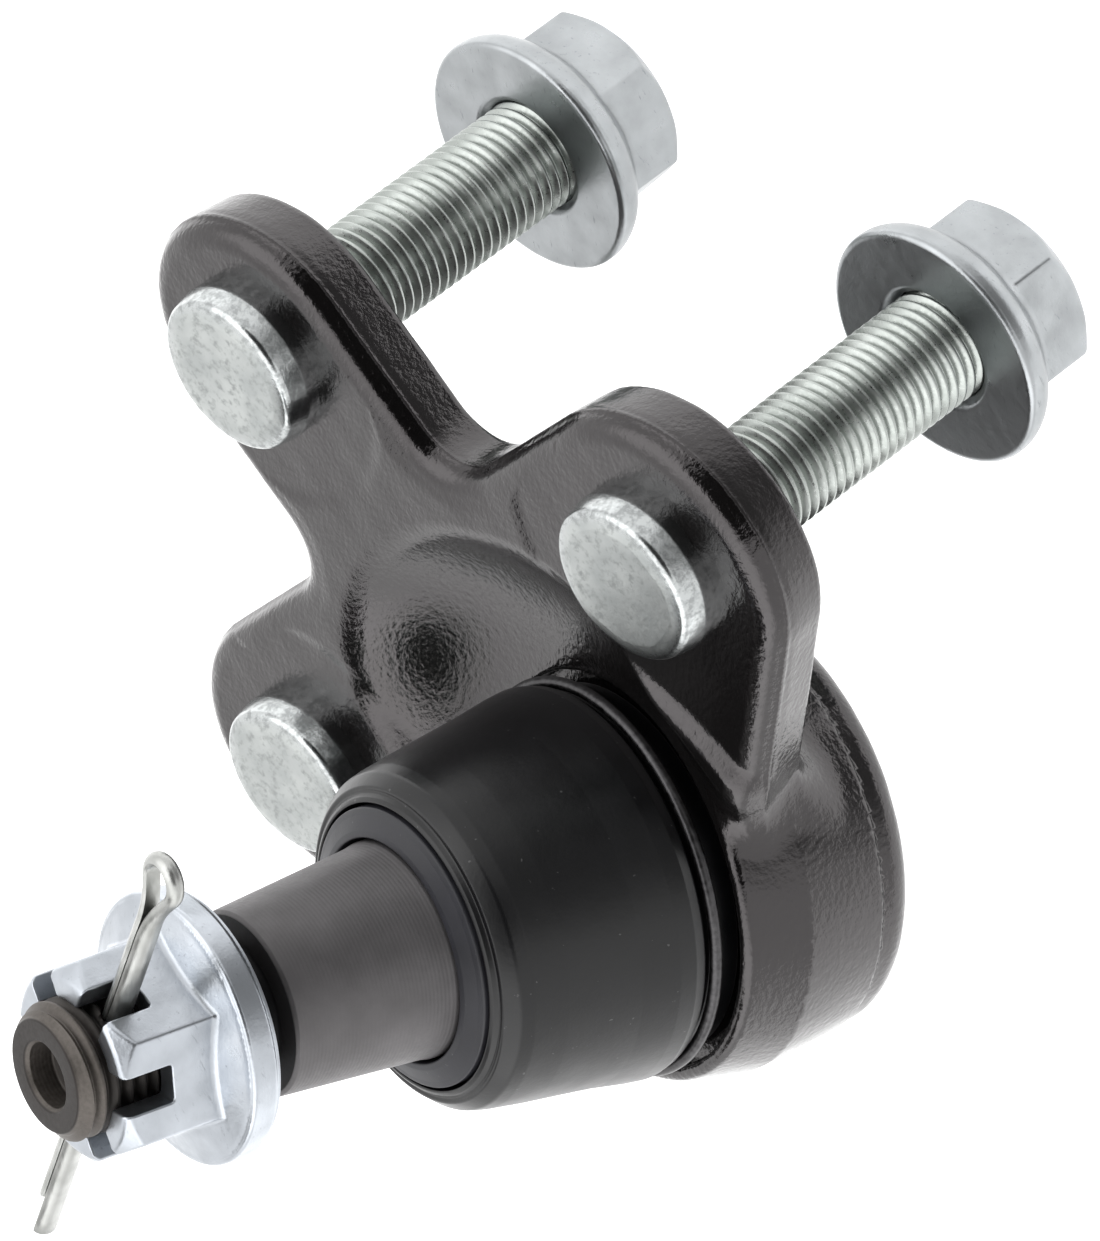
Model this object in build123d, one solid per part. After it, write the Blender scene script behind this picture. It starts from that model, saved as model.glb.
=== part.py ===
from build123d import *
import math
import os

# Suspension ball joint with a forged three-lobe mounting plate.
# Millimetres. The origin lies midway between the two outer stud bolts, on the mounting face.
# +Z points to the side of the bolt heads and the ball stud, +Y from the inner bolt to the cup.

# Bolt layout
OUTER_PITCH = 76.6
INNER_REACH = 37.7

# Mounting plate
PLATE_T = 7.9
PARTING_Z = 5.8
OUTER_LOBE_R = 16.3
INNER_LOBE_R = 15.0
WAIST_FILLET_R = 6.5
WEB_SLOPE = 31.0
DRAFT = 7.0
FRONT_EDGE_R = 1.7
REAR_EDGE_R = 0.8
ISLAND_RISE = 0.7
ISLAND_INSET = 2.4
PAD_MARGIN = 0.6

# Ball centre and the tilt of the cup's axis towards the inner bolt
BALL_Y = 24.7
BALL_Z = 7.2
CUP_TILT = 15.6

# Ball, seats, spring and cap, as heights along the cup's axis from the ball centre
BALL_R = 13.5
SEAT_T = 1.6
SEAT_SPLIT_GAP = 0.3
SEAT_TOP_H = 7.5
SEAT_FOOT_R = 9.0
SPRING_OUT_R = 12.6
SPRING_IN_R = 6.5
SPRING_T = 0.8
SPRING_H = 1.3
CAP_R = 17.0
CAP_T = 1.8
CAP_DISH_R = 9.0
CAP_DISH = 0.6
RUN_GAP = 0.05

# Cup
RIM_H = 1.5
RIM_OUT_R = 21.95
BELLY_R = 23.3
BELLY_H = -5.7
SKIRT_R = 22.3
SKIRT_H = -15.2
LIP_T = 1.3
LIP_ROUND = 0.3
LIP_OUT_R = 19.6
LIP_IN_R = 14.6
GROOVE_R = 20.6
GROOVE_H = -0.6
NECK_R = 17.6
NECK_LIP_R = 18.5
NECK_LIP_H = 4.6
NECK_LIP_STEP = 0.6
NECK_LIP_BEVEL = 1.5
NECK_TOP_H = 8.8
MOUTH_FLARE = 1.0
GUSSET_FLARE = 3.6
GUSSET_DROP = 5.5

# Dished relief that leaves room for the boot in front of the cup's rim
DISH_R = 38.0
DISH_H = 12.0
DISH_MID_R = 31.5
DISH_MID_H = 5.4
DISH_CLEAR_H = 40.0

# Stud bolts
THREAD_R = 6.0
LEAD_R = 5.8
LEAD_START = 31.0
HEAD_R = 8.95
HEAD_H = 4.4
HEAD_EDGE_R = 1.4
SERRATION_R = 6.25
BOLT_REACH = 44.2
BOLT_TIP_CHAMFER = 1.0

# Flange nuts
RIM_EDGE = 0.5
RIM_TOP_EDGE = 0.8
NUT_AF = 19.0
NUT_H = 12.1
NUT_FLANGE_R = 13.2
NUT_RIM_T = 3.0
NUT_CONE_TOP_R = 9.3
NUT_CONE_H = 5.6
NUT_THREAD_GAP = 0.05
NUT_MOUTH_R = 6.9
NUT_MOUTH_H = 1.2
NUT_TURN = 4.0
INNER_NUT_Z = -31.1
LEFT_NUT_Z = -32.7
RIGHT_NUT_Z = -31.9

# Ball stud, as heights along the cup's axis from the ball centre
STUD_NECK_R = 7.0
STUD_FLARE_H = 12.0
SEAL_SEAT_R = 11.2
SEAL_SEAT_H = 20.0
TAPER_TOP_R = 11.0
TAPER_H = 28.5
TAPER_LEN = 17.3
TAPER_RATIO = 6.0
STUD_RELIEF_R = 6.1
STUD_THREAD_R = 7.0
STUD_PROUD = 3.1
STUD_TIP_CHAMFER = 0.9
THREAD_RUNOUT = 1.0
END_HOLE_R = 3.4
END_HOLE_DEPTH = 4.2
END_HOLE_POINT = 1.2
PIN_HOLE_R = 1.65

# Castle nut
CASTLE_AF = 19.0
RELIEF_LEN = 5.0
CASTLE_H = 14.8
CASTLE_FLANGE_R = 13.9
CASTLE_RIM_T = 3.0
CASTLE_CONE_TOP_R = 9.3
CASTLE_CONE_H = 4.0
SLOT_W = 4.0
SLOT_DEPTH = 5.55
SLOT_COUNT = 6
CASTLE_TURN = -5.0

# Cotter pin
PIN_TURN = 205.0
PIN_LEG_R = 1.4
PIN_LEG_GAP = 0.12
PIN_SEAT_GAP = 0.65
PIN_LONG_LEG = 27.5
PIN_SHORT_LEG = 22.5
PIN_NECK = 17.5
PIN_EYE_TOP = 30.7
PIN_EYE_R = 2.35
PIN_WIRE_R = 0.65

# Dust boot and its rings, as heights along the cup's axis from the ball centre
BOOT_GAP = 0.3
BOOT_WALL = 1.7
BOOT_FOOT_WALL = 1.2
BOOT_FOOT_H = 0.2
BOOT_BASE_R = 20.1
BOOT_BASE_H = 4.9
BOOT_HIP_R = 20.4
BOOT_HIP_H = 6.4
BOOT_WAIST_R = 19.1
BOOT_WAIST_H = 15.4
BOOT_SHOULDER_R = 17.5
BOOT_SHOULDER_H = 24.6
BOOT_FACE_R = 16.4
BOOT_FACE_H = 26.6
SEAL_RING_R = 14.4
SEAL_RING_LOW_H = 25.0
SEAL_RING_EDGE_H = 27.3
SEAL_RING_TOP_H = 28.4
RETAINER_R = 0.65
RETAINER_H = 3.6

inner_spot = (0.0, -INNER_REACH)
left_spot = (-OUTER_PITCH / 2, 0.0)
right_spot = (OUTER_PITCH / 2, 0.0)
tilt = math.radians(CUP_TILT)
cup_plane = Plane(
    origin=(0, BALL_Y, BALL_Z),
    x_dir=(1, 0, 0),
    z_dir=(0, -math.sin(tilt), math.cos(tilt)),
)

bore_r = BALL_R + SEAT_T
seat_foot_h = -bore_r
spring_low_h = seat_foot_h - SPRING_H
cap_low_h = spring_low_h - CAP_T
cup_low_h = cap_low_h - LIP_T
taper_end_h = TAPER_H + TAPER_LEN
taper_end_r = TAPER_TOP_R - TAPER_LEN / TAPER_RATIO / 2
castle_seat_h = taper_end_h + RELIEF_LEN
castle_top_h = castle_seat_h + CASTLE_H
slot_floor_h = castle_top_h - SLOT_DEPTH
stud_tip_h = castle_top_h + STUD_PROUD
pin_h = slot_floor_h + PIN_LEG_R + PIN_SEAT_GAP
pin_flat = math.sqrt(PIN_LEG_R**2 - (PIN_LEG_GAP / 2) ** 2)


def turned(*lines):
    """Revolve a closed half section, given as (radius, height), about the local z axis."""
    return revolve(Plane.XZ * make_face(lines), Axis.Z)


def on_cup(solid):
    """Put a solid made about the local z axis on the cup's axis, with z=0 at the ball centre."""
    return cup_plane.location * solid


def drum(radius, low, high, spot=(0.0, 0.0)):
    """Upright cylinder between two heights."""
    return Pos(spot[0], spot[1], low) * extrude(Circle(radius), high - low)


def plate_outline():
    """Parting-line outline of the three-lobed plate, from the right half and its mirror image."""
    outer_x = right_spot[0]
    turn = 90.0 - WEB_SLOPE
    slope = math.radians(WEB_SLOPE)
    low_arc = CenterArc(inner_spot, INNER_LOBE_R, -90, 90)
    waist_centre = (INNER_LOBE_R + WAIST_FILLET_R, -OUTER_LOBE_R - WAIST_FILLET_R)
    waist_arc = CenterArc(waist_centre, WAIST_FILLET_R, 180, -90)
    side = Line(low_arc @ 1, waist_arc @ 0)
    shelf = Line(waist_arc @ 1, (outer_x, -OUTER_LOBE_R))
    lobe_arc = CenterArc(right_spot, OUTER_LOBE_R, -90, 90 + turn)
    lobe_end = lobe_arc @ 1
    apex = (0, lobe_end.Y + lobe_end.X * math.tan(slope))
    web = Line(lobe_end, apex)
    half = [low_arc, side, waist_arc, shelf, lobe_arc, web]
    other = [mirror(line, about=Plane.YZ) for line in half]
    return make_face(half + other)


def plate():
    """Plate drafted both ways from its parting plane, with rounded edges and a raised middle."""
    outline = plate_outline()
    at_parting = Pos(0, 0, PARTING_Z)
    front = at_parting * extrude(outline, PLATE_T - PARTING_Z, taper=DRAFT)
    rear = at_parting * extrude(outline, -PARTING_Z, taper=DRAFT)
    body = front + rear
    body = fillet(body.edges().group_by(Axis.Z)[-1], FRONT_EDGE_R)
    body = fillet(body.edges().group_by(Axis.Z)[0], REAR_EDGE_R)
    island = offset(outline, -ISLAND_INSET, kind=Kind.INTERSECTION)
    for spot, radius in (
        (inner_spot, INNER_LOBE_R),
        (left_spot, OUTER_LOBE_R),
        (right_spot, OUTER_LOBE_R),
    ):
        island -= Pos(*spot) * Circle(radius + PAD_MARGIN)
    island = max(island.faces(), key=lambda face: face.area)
    step = 2 * ISLAND_RISE
    raised = Pos(0, 0, PLATE_T - ISLAND_RISE) * extrude(island, step, taper=2 * DRAFT)
    return body + raised


def cup_blank():
    """Outside of the cup: rolled rear rim, belly at the parting line, front rim, groove and neck."""
    lip_round = ThreePointArc(
        (LIP_OUT_R, cup_low_h),
        (SKIRT_R - (SKIRT_R - LIP_OUT_R) * LIP_ROUND, cup_low_h + (SKIRT_H - cup_low_h) * LIP_ROUND),
        (SKIRT_R, SKIRT_H),
    )
    wall = Polyline(
        (SKIRT_R, SKIRT_H),
        (BELLY_R, BELLY_H),
        (RIM_OUT_R, RIM_H),
        (GROOVE_R, RIM_H),
        (GROOVE_R, GROOVE_H),
        (NECK_R, GROOVE_H),
        (NECK_R, NECK_LIP_H - NECK_LIP_STEP),
        (NECK_LIP_R, NECK_LIP_H),
        (NECK_LIP_R, NECK_TOP_H - NECK_LIP_BEVEL),
        (NECK_LIP_R - NECK_LIP_BEVEL, NECK_TOP_H),
        (0, NECK_TOP_H),
        (0, cup_low_h),
        (LIP_OUT_R, cup_low_h),
    )
    return on_cup(turned(lip_round, wall))


def sphere_arc(radius, low, high):
    """Arc of a half section on the ball's centre, between two heights."""
    start = math.asin(low / radius)
    end = math.asin(high / radius)
    middle = (start + end) / 2
    points = [(radius * math.cos(a), radius * math.sin(a)) for a in (start, middle, end)]
    return ThreePointArc(*points)


def cup_cavity():
    """Inside of the cup: lip opening, cap seat, bore and the round roof with its open mouth."""
    roof = sphere_arc(bore_r, 0, NECK_TOP_H)
    mouth = roof @ 1
    low = cup_low_h - LIP_T
    walls = Polyline(
        mouth,
        (mouth.X + MOUTH_FLARE, NECK_TOP_H + MOUTH_FLARE),
        (0, NECK_TOP_H + MOUTH_FLARE),
        (0, low),
        (LIP_IN_R, low),
        (LIP_IN_R, cap_low_h),
        (CAP_R, cap_low_h),
        (CAP_R, spring_low_h),
        (bore_r, spring_low_h),
        (bore_r, 0),
    )
    return on_cup(turned(roof, walls))


def rear_gusset():
    """Flare between the plate's rear face and the cup's wall, kept inside the plate's outline."""
    lean = math.tan(tilt)
    top_y = BALL_Y + BALL_Z * lean
    top = Pos(0, top_y, 0) * Circle(SKIRT_R + GUSSET_FLARE)
    base = Pos(0, top_y + GUSSET_DROP * lean, -GUSSET_DROP) * Ellipse(SKIRT_R, SKIRT_R / math.cos(tilt))
    flare = loft([top.face(), base.face()], ruled=True) + extrude(top, REAR_EDGE_R)
    column = Pos(0, 0, PARTING_Z) * extrude(plate_outline(), -PARTING_Z - GUSSET_DROP, taper=DRAFT)
    return flare & column


def boot_dish():
    """Space for the boot: its groove, and a dish in front of the cup's rim where it swings."""
    curve = ThreePointArc((RIM_OUT_R, RIM_H), (DISH_MID_R, DISH_MID_H), (DISH_R, DISH_H))
    sides = Polyline(
        (DISH_R, DISH_H),
        (DISH_R, DISH_CLEAR_H),
        (0, DISH_CLEAR_H),
        (0, GROOVE_H),
        (GROOVE_R, GROOVE_H),
        (GROOVE_R, RIM_H),
        (RIM_OUT_R, RIM_H),
    )
    return on_cup(turned(curve, sides))


def housing():
    """Plate and cup in one forging, bored for the bolts and the ball."""
    body = plate() - boot_dish() + rear_gusset() + cup_blank() - cup_cavity()
    for spot in (inner_spot, left_spot, right_spot):
        body -= drum(SERRATION_R, -PLATE_T, 2 * PLATE_T, spot)
    return body


def upper_ball_seat():
    """Shell between the ball and the cup's roof."""
    low = SEAT_SPLIT_GAP / 2
    outside = sphere_arc(bore_r, low, SEAT_TOP_H)
    inside = sphere_arc(BALL_R + RUN_GAP, low, SEAT_TOP_H)
    top = Line(outside @ 1, inside @ 1)
    bottom = Line(inside @ 0, outside @ 0)
    return on_cup(turned(outside, top, inside, bottom))


def lower_ball_seat():
    """Bowl under the ball, with a flat foot for the spring."""
    top = -SEAT_SPLIT_GAP / 2
    inner_r = BALL_R + RUN_GAP
    pole = math.radians(90)
    rim = math.asin(top / inner_r)
    middle = (rim - pole) / 2
    inside = ThreePointArc(
        (inner_r * math.cos(rim), top),
        (inner_r * math.cos(middle), inner_r * math.sin(middle)),
        (0, -inner_r),
    )
    outside = Polyline(
        (0, -inner_r),
        (0, seat_foot_h),
        (SEAT_FOOT_R, seat_foot_h),
        (bore_r, seat_foot_h + bore_r - SEAT_FOOT_R),
        (bore_r, top),
        (inner_r * math.cos(rim), top),
    )
    return on_cup(turned(inside, outside))


def preload_spring():
    """Coned disc spring between the end cap and the lower seat."""
    section = Polyline(
        (SPRING_OUT_R, spring_low_h),
        (SPRING_OUT_R, spring_low_h + SPRING_T),
        (SPRING_IN_R, seat_foot_h),
        (SPRING_IN_R, seat_foot_h - SPRING_T),
        close=True,
    )
    return on_cup(turned(section))


def end_cap():
    """Pressed cap with a shallow dish, held by the rolled rim."""
    section = Polyline(
        (0, spring_low_h),
        (CAP_R, spring_low_h),
        (CAP_R, cap_low_h),
        (CAP_DISH_R + CAP_DISH, cap_low_h),
        (CAP_DISH_R, cap_low_h + CAP_DISH),
        (0, cap_low_h + CAP_DISH),
        close=True,
    )
    return on_cup(turned(section))


def stud_bolt(spot):
    """Round-headed bolt, pressed into the plate, with its thread to the rear."""
    head = fillet(drum(HEAD_R, PLATE_T, PLATE_T + HEAD_H).edges().group_by(Axis.Z)[-1], HEAD_EDGE_R)
    neck = drum(SERRATION_R, 0, PLATE_T)
    grip = drum(THREAD_R, -LEAD_START, 0)
    tip = drum(LEAD_R, -BOLT_REACH, -LEAD_START)
    tip = chamfer(tip.edges().group_by(Axis.Z)[0], BOLT_TIP_CHAMFER)
    return Pos(*spot, 0) * (head + neck + grip + tip)


def hex_body(across_flats, low, high, turn):
    """Hexagon prism whose outer corners are bevelled at its upper end."""
    apothem = across_flats / 2
    corner = apothem / math.cos(math.radians(30))
    prism = Pos(0, 0, low) * Rot(0, 0, turn) * extrude(
        RegularPolygon(apothem, 6, major_radius=False, rotation=0), high - low
    )
    bevel = corner - apothem
    envelope = turned(
        Polyline(
            (0, low),
            (corner, low),
            (corner, high - bevel / 2),
            (apothem, high),
            (0, high),
            close=True,
        )
    )
    return prism & envelope


def flange(outer_r, rim_t, cone_r, cone_h):
    """Washer-like flange with a cone that runs up to the hexagon."""
    return turned(
        Polyline(
            (0, 0),
            (outer_r - RIM_EDGE, 0),
            (outer_r, RIM_EDGE),
            (outer_r, rim_t - RIM_EDGE),
            (outer_r - RIM_TOP_EDGE, rim_t),
            (cone_r, cone_h),
            (0, cone_h),
            close=True,
        )
    )


def flange_nut(spot, seat_z):
    """Hex nut with a forged flange, bearing face up and hexagon down."""
    body = flange(NUT_FLANGE_R, NUT_RIM_T, NUT_CONE_TOP_R, NUT_CONE_H)
    body += hex_body(NUT_AF, NUT_RIM_T, NUT_H, -NUT_TURN)
    body -= drum(THREAD_R + NUT_THREAD_GAP, -NUT_H, 2 * NUT_H)
    body -= turned(
        Polyline(
            (0, -NUT_MOUTH_H),
            (NUT_MOUTH_R + NUT_MOUTH_H, -NUT_MOUTH_H),
            (NUT_MOUTH_R - NUT_MOUTH_H, NUT_MOUTH_H),
            (0, NUT_MOUTH_H),
            close=True,
        )
    )
    return Pos(spot[0], spot[1], seat_z) * Rot(180, 0, 0) * body


def ball_stud():
    """Ball, neck, seal seat, taper and thread in one piece."""
    neck_h = math.sqrt(BALL_R**2 - STUD_NECK_R**2)
    thread_low = castle_seat_h - RUN_GAP
    ball = ThreePointArc((0, -BALL_R), (BALL_R, 0), (STUD_NECK_R, neck_h))
    shaft = Polyline(
        (STUD_NECK_R, neck_h),
        (STUD_NECK_R, STUD_FLARE_H),
        (SEAL_SEAT_R, SEAL_SEAT_H),
        (SEAL_SEAT_R, TAPER_H),
        (TAPER_TOP_R, TAPER_H),
        (taper_end_r, taper_end_h),
        (STUD_RELIEF_R, taper_end_h),
        (STUD_RELIEF_R, thread_low - THREAD_RUNOUT),
        (STUD_THREAD_R, thread_low),
        (STUD_THREAD_R, stud_tip_h - STUD_TIP_CHAMFER),
        (STUD_THREAD_R - STUD_TIP_CHAMFER, stud_tip_h),
        (END_HOLE_R, stud_tip_h),
        (END_HOLE_R, stud_tip_h - END_HOLE_DEPTH + END_HOLE_POINT),
        (0, stud_tip_h - END_HOLE_DEPTH),
        (0, -BALL_R),
    )
    body = turned(ball, shaft)
    body -= Pos(0, 0, pin_h) * Rot(0, 0, PIN_TURN) * Rot(0, 90, 0) * Cylinder(PIN_HOLE_R, 4 * STUD_THREAD_R)
    return on_cup(body)


def castle_nut():
    """Slotted nut with a forged flange, bearing face towards the taper."""
    body = flange(CASTLE_FLANGE_R, CASTLE_RIM_T, CASTLE_CONE_TOP_R, CASTLE_CONE_H)
    body += hex_body(CASTLE_AF, CASTLE_RIM_T, CASTLE_H, CASTLE_TURN)
    body -= drum(STUD_THREAD_R + RUN_GAP, -CASTLE_H, 2 * CASTLE_H)
    slot = Pos(CASTLE_AF / 2, 0, CASTLE_H) * Box(CASTLE_AF, SLOT_W, 2 * SLOT_DEPTH)
    for turn in range(SLOT_COUNT):
        angle = CASTLE_TURN + 180 / SLOT_COUNT + turn * 360 / SLOT_COUNT
        body -= Rot(0, 0, angle) * slot
    return on_cup(Pos(0, 0, castle_seat_h) * body)


def rod(start, end, radius):
    """Round bar between two points."""
    way = Vector(*end) - Vector(*start)
    return extrude(Plane(origin=start, z_dir=way) * Circle(radius), way.length)


def pin_leg(reach, side):
    """Half-round leg along the local x axis, on the +y or -y side of the pin's split."""
    flat = side * PIN_LEG_GAP / 2
    round_side = ThreePointArc((flat, -pin_flat), (side * PIN_LEG_R, 0), (flat, pin_flat))
    section = make_face([round_side, Line((flat, pin_flat), (flat, -pin_flat))])
    across = Plane(origin=(-reach, 0, 0), x_dir=(0, 1, 0), z_dir=(1, 0, 0))
    return extrude(across * section, reach + PIN_NECK)


def cotter_pin():
    """Split pin: two half-round legs and a drop-shaped eye."""
    wire_y = (PIN_LEG_R + PIN_LEG_GAP / 2) / 2
    eye_x = PIN_EYE_TOP - PIN_WIRE_R - PIN_EYE_R
    run = eye_x - PIN_NECK
    touch = math.pi - math.atan2(wire_y, run) - math.acos(PIN_EYE_R / math.hypot(run, wire_y))
    body = Part()
    for reach, side in ((PIN_SHORT_LEG, 1), (PIN_LONG_LEG, -1)):
        joint = (eye_x + PIN_EYE_R * math.cos(touch), side * PIN_EYE_R * math.sin(touch), 0)
        body += pin_leg(reach, side) + rod((PIN_NECK, side * wire_y, 0), joint, PIN_WIRE_R)
    way = Vector(joint[0] - PIN_NECK, PIN_EYE_R * math.sin(touch) - wire_y, 0)
    upper_end = Plane(origin=(joint[0], -joint[1], 0), z_dir=way)
    loop = Axis((eye_x, 0, 0), (0, 0, -1))
    body += revolve(upper_end * Circle(PIN_WIRE_R), loop, revolution_arc=2 * math.degrees(touch))
    turn = math.radians(PIN_TURN)
    along = cup_plane.from_local_coords(Vector(math.cos(turn), math.sin(turn), 0)) - cup_plane.origin
    centre = cup_plane.from_local_coords(Vector(0, 0, pin_h))
    frame = Plane(origin=centre, x_dir=along, z_dir=along.cross(cup_plane.z_dir))
    return frame.location * body


def dust_boot():
    """Rubber boot from the cup's neck to the stud, as a hollow turned shell."""
    foot_in = NECK_R + BOOT_GAP
    foot_out = foot_in + BOOT_FOOT_WALL
    ledge_in = NECK_LIP_R + BOOT_GAP
    ring_in = SEAL_RING_R + BOOT_GAP
    ring_low = SEAL_RING_LOW_H - BOOT_GAP
    outer = ThreePointArc(
        (BOOT_HIP_R, BOOT_HIP_H), (BOOT_WAIST_R, BOOT_WAIST_H), (BOOT_SHOULDER_R, BOOT_SHOULDER_H)
    )
    inner = ThreePointArc(
        (BOOT_SHOULDER_R - BOOT_WALL, ring_low - BOOT_WALL),
        (BOOT_WAIST_R - BOOT_WALL, BOOT_WAIST_H),
        (ledge_in, NECK_TOP_H),
    )
    top = Polyline(
        (BOOT_SHOULDER_R, BOOT_SHOULDER_H),
        (BOOT_FACE_R, BOOT_FACE_H),
        (ring_in, SEAL_RING_EDGE_H),
        (ring_in, ring_low),
        (BOOT_SHOULDER_R - BOOT_WALL, ring_low - BOOT_WALL),
    )
    base = Polyline(
        (ledge_in, NECK_TOP_H),
        (ledge_in, NECK_LIP_H - NECK_LIP_STEP),
        (foot_in, NECK_LIP_H - 2 * NECK_LIP_STEP),
        (foot_in, BOOT_FOOT_H),
        (foot_out, BOOT_FOOT_H),
        (foot_out, BOOT_BASE_H - NECK_LIP_STEP),
        (BOOT_BASE_R, BOOT_BASE_H),
        (BOOT_HIP_R, BOOT_HIP_H),
    )
    return on_cup(turned(outer, top, inner, base))


def boot_retaining_ring():
    """Sprung wire ring round the boot's foot."""
    ring_r = NECK_R + BOOT_FOOT_WALL + 2 * BOOT_GAP + RETAINER_R
    return on_cup(Pos(0, 0, RETAINER_H) * Torus(ring_r, RETAINER_R))


def boot_seal_ring():
    """Stiff ring that carries the boot's small end and seals on the stud."""
    inner = SEAL_SEAT_R + BOOT_GAP
    section = Polyline(
        (inner, SEAL_RING_LOW_H),
        (SEAL_RING_R, SEAL_RING_LOW_H),
        (SEAL_RING_R, SEAL_RING_EDGE_H),
        (inner, SEAL_RING_TOP_H),
        close=True,
    )
    return on_cup(turned(section))


pieces = {
    "housing": housing(),
    "upper_ball_seat": upper_ball_seat(),
    "lower_ball_seat": lower_ball_seat(),
    "preload_spring": preload_spring(),
    "end_cap": end_cap(),
    "stud_bolt_inner": stud_bolt(inner_spot),
    "stud_bolt_left": stud_bolt(left_spot),
    "stud_bolt_right": stud_bolt(right_spot),
    "flange_nut_inner": flange_nut(inner_spot, INNER_NUT_Z),
    "flange_nut_left": flange_nut(left_spot, LEFT_NUT_Z),
    "flange_nut_right": flange_nut(right_spot, RIGHT_NUT_Z),
    "ball_stud": ball_stud(),
    "castle_nut": castle_nut(),
    "cotter_pin": cotter_pin(),
    "dust_boot": dust_boot(),
    "boot_retaining_ring": boot_retaining_ring(),
    "boot_seal_ring": boot_seal_ring(),
}

os.makedirs("parts", exist_ok=True)
for name, piece in pieces.items():
    export_step(piece, f"parts/{name}.step")
    print(name, len(piece.solids()), round(piece.volume, 1), piece.is_valid)
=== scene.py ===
import math

import bmesh
import bpy
import numpy as np
from mathutils import Matrix, Vector


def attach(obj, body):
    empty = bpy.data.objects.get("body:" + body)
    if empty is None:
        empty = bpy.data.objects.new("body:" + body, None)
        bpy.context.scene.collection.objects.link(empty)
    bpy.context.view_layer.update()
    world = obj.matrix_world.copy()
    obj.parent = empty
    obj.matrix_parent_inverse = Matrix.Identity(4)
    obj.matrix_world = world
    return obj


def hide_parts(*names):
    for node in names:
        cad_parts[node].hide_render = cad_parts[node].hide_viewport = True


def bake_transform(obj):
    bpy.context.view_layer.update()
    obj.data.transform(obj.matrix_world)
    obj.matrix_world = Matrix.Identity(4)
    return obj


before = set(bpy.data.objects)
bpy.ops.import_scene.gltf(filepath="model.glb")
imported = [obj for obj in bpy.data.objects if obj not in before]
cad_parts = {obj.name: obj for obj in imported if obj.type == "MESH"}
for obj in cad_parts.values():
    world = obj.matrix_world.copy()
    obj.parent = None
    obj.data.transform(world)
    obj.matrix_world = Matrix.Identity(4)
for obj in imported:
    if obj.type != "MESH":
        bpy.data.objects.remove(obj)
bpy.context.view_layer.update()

MM = 0.001

# Sizes in millimetres, in the frame of the solids: origin on the mounting face between the outer bolts,
# z out of the plate's front. Heights on the cup and the stud run along the cup's axis from the ball's centre.

# Plate
OUTER_X = 38.3
INNER_REACH = 37.7
PLATE_T = 7.9
PARTING_Z = 5.8
OUTER_LOBE_R = 16.3
INNER_LOBE_R = 15.0
WAIST_FILLET_R = 6.5
WEB_SLOPE = math.radians(31.0)
ARM_END_Y, BAR_END_Y, WEB_END_Y = 5.0, 13.0, -14.0
DRAFT = math.radians(7.0)
FRONT_EDGE_R = 1.3
BEVEL_W, BEVEL_H, BEVEL_R = 1.0, 1.5, 1.1
REAR_EDGE_R = 0.8
ISLAND_RISE = 0.22
ISLAND_INSET = 2.4
ISLAND_EDGE = 2.2
ISLAND_OFF_X, ISLAND_OFF_Y = 19.0, -4.0
PAD_MARGIN = 0.6
RIDGE_RISE, RIDGE_IN_R, RIDGE_OUT_R = 1.25, 22.3, 30.4
RIDGE_IN_W, RIDGE_OUT_W = 4.5, 2.6
RIDGE_FROM_X, RIDGE_RIGHT_MORE, RIDGE_FROM_Y = 14.0, 6.0, -6.0
FLASH = 0.13
FLASH_W = 0.35
PLATE_FLASH_R, BELLY_FLASH_Z = 24.0, -3.0
WAVE = 0.05
BOLTS = {"inner": (0.0, -INNER_REACH), "left": (-OUTER_X, 0.0), "right": (OUTER_X, 0.0)}

# Cup, leaning on its own axis
BALL = np.array([0.0, 24.7, 7.2])
CUP_TILT = math.radians(15.6)
CUP_AXES = np.array(
    [
        [1.0, 0.0, 0.0],
        [0.0, math.cos(CUP_TILT), math.sin(CUP_TILT)],
        [0.0, -math.sin(CUP_TILT), math.cos(CUP_TILT)],
    ]
)
CUP = Matrix.Translation(Vector(BALL * MM)) @ Matrix(CUP_AXES.T.tolist()).to_4x4()
HERE = Matrix.Identity(4)

RIM_H, RIM_OUT_R = 1.5, 21.95
BELLY_H, BELLY_R = -5.7, 23.3
SKIRT_H, SKIRT_R = -15.2, 22.3
SKIRT_STEP = 0.35
CUP_LOW_H = -19.5
CUP_FILLET_R, CUP_FILLET_MORE, CUP_FILLET_H = 3.2, 2.8, 6.0
LIP_ROUND = 3.0
LIP_IN_R = 14.6
CAP_R, CAP_LOW_H, CAP_TOP_H = 17.0, -18.2, -16.4
BORE_R = 15.1
BORE_EDGE_R = 0.4
GROOVE_R, GROOVE_H = 20.6, -0.6
GROOVE_EDGE_R = 0.35
NECK_R, NECK_TOP_H = 17.6, 8.8
NECK_LIP_R, NECK_LIP_H, NECK_LIP_STEP = 18.5, 4.6, 0.8
NECK_EDGE_R = 0.4
DISH_R, DISH_H = 38.0, 12.0
DISH_MID_R, DISH_MID_H = 31.5, 5.4
DISH_SIDE_R = 26.0
DISH_FADE_START, DISH_FADE = 0.25, 0.95
DISH_BANK_H, DISH_BANK_R, DISH_EDGE_R = 3.5, 1.5, 1.1

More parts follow.
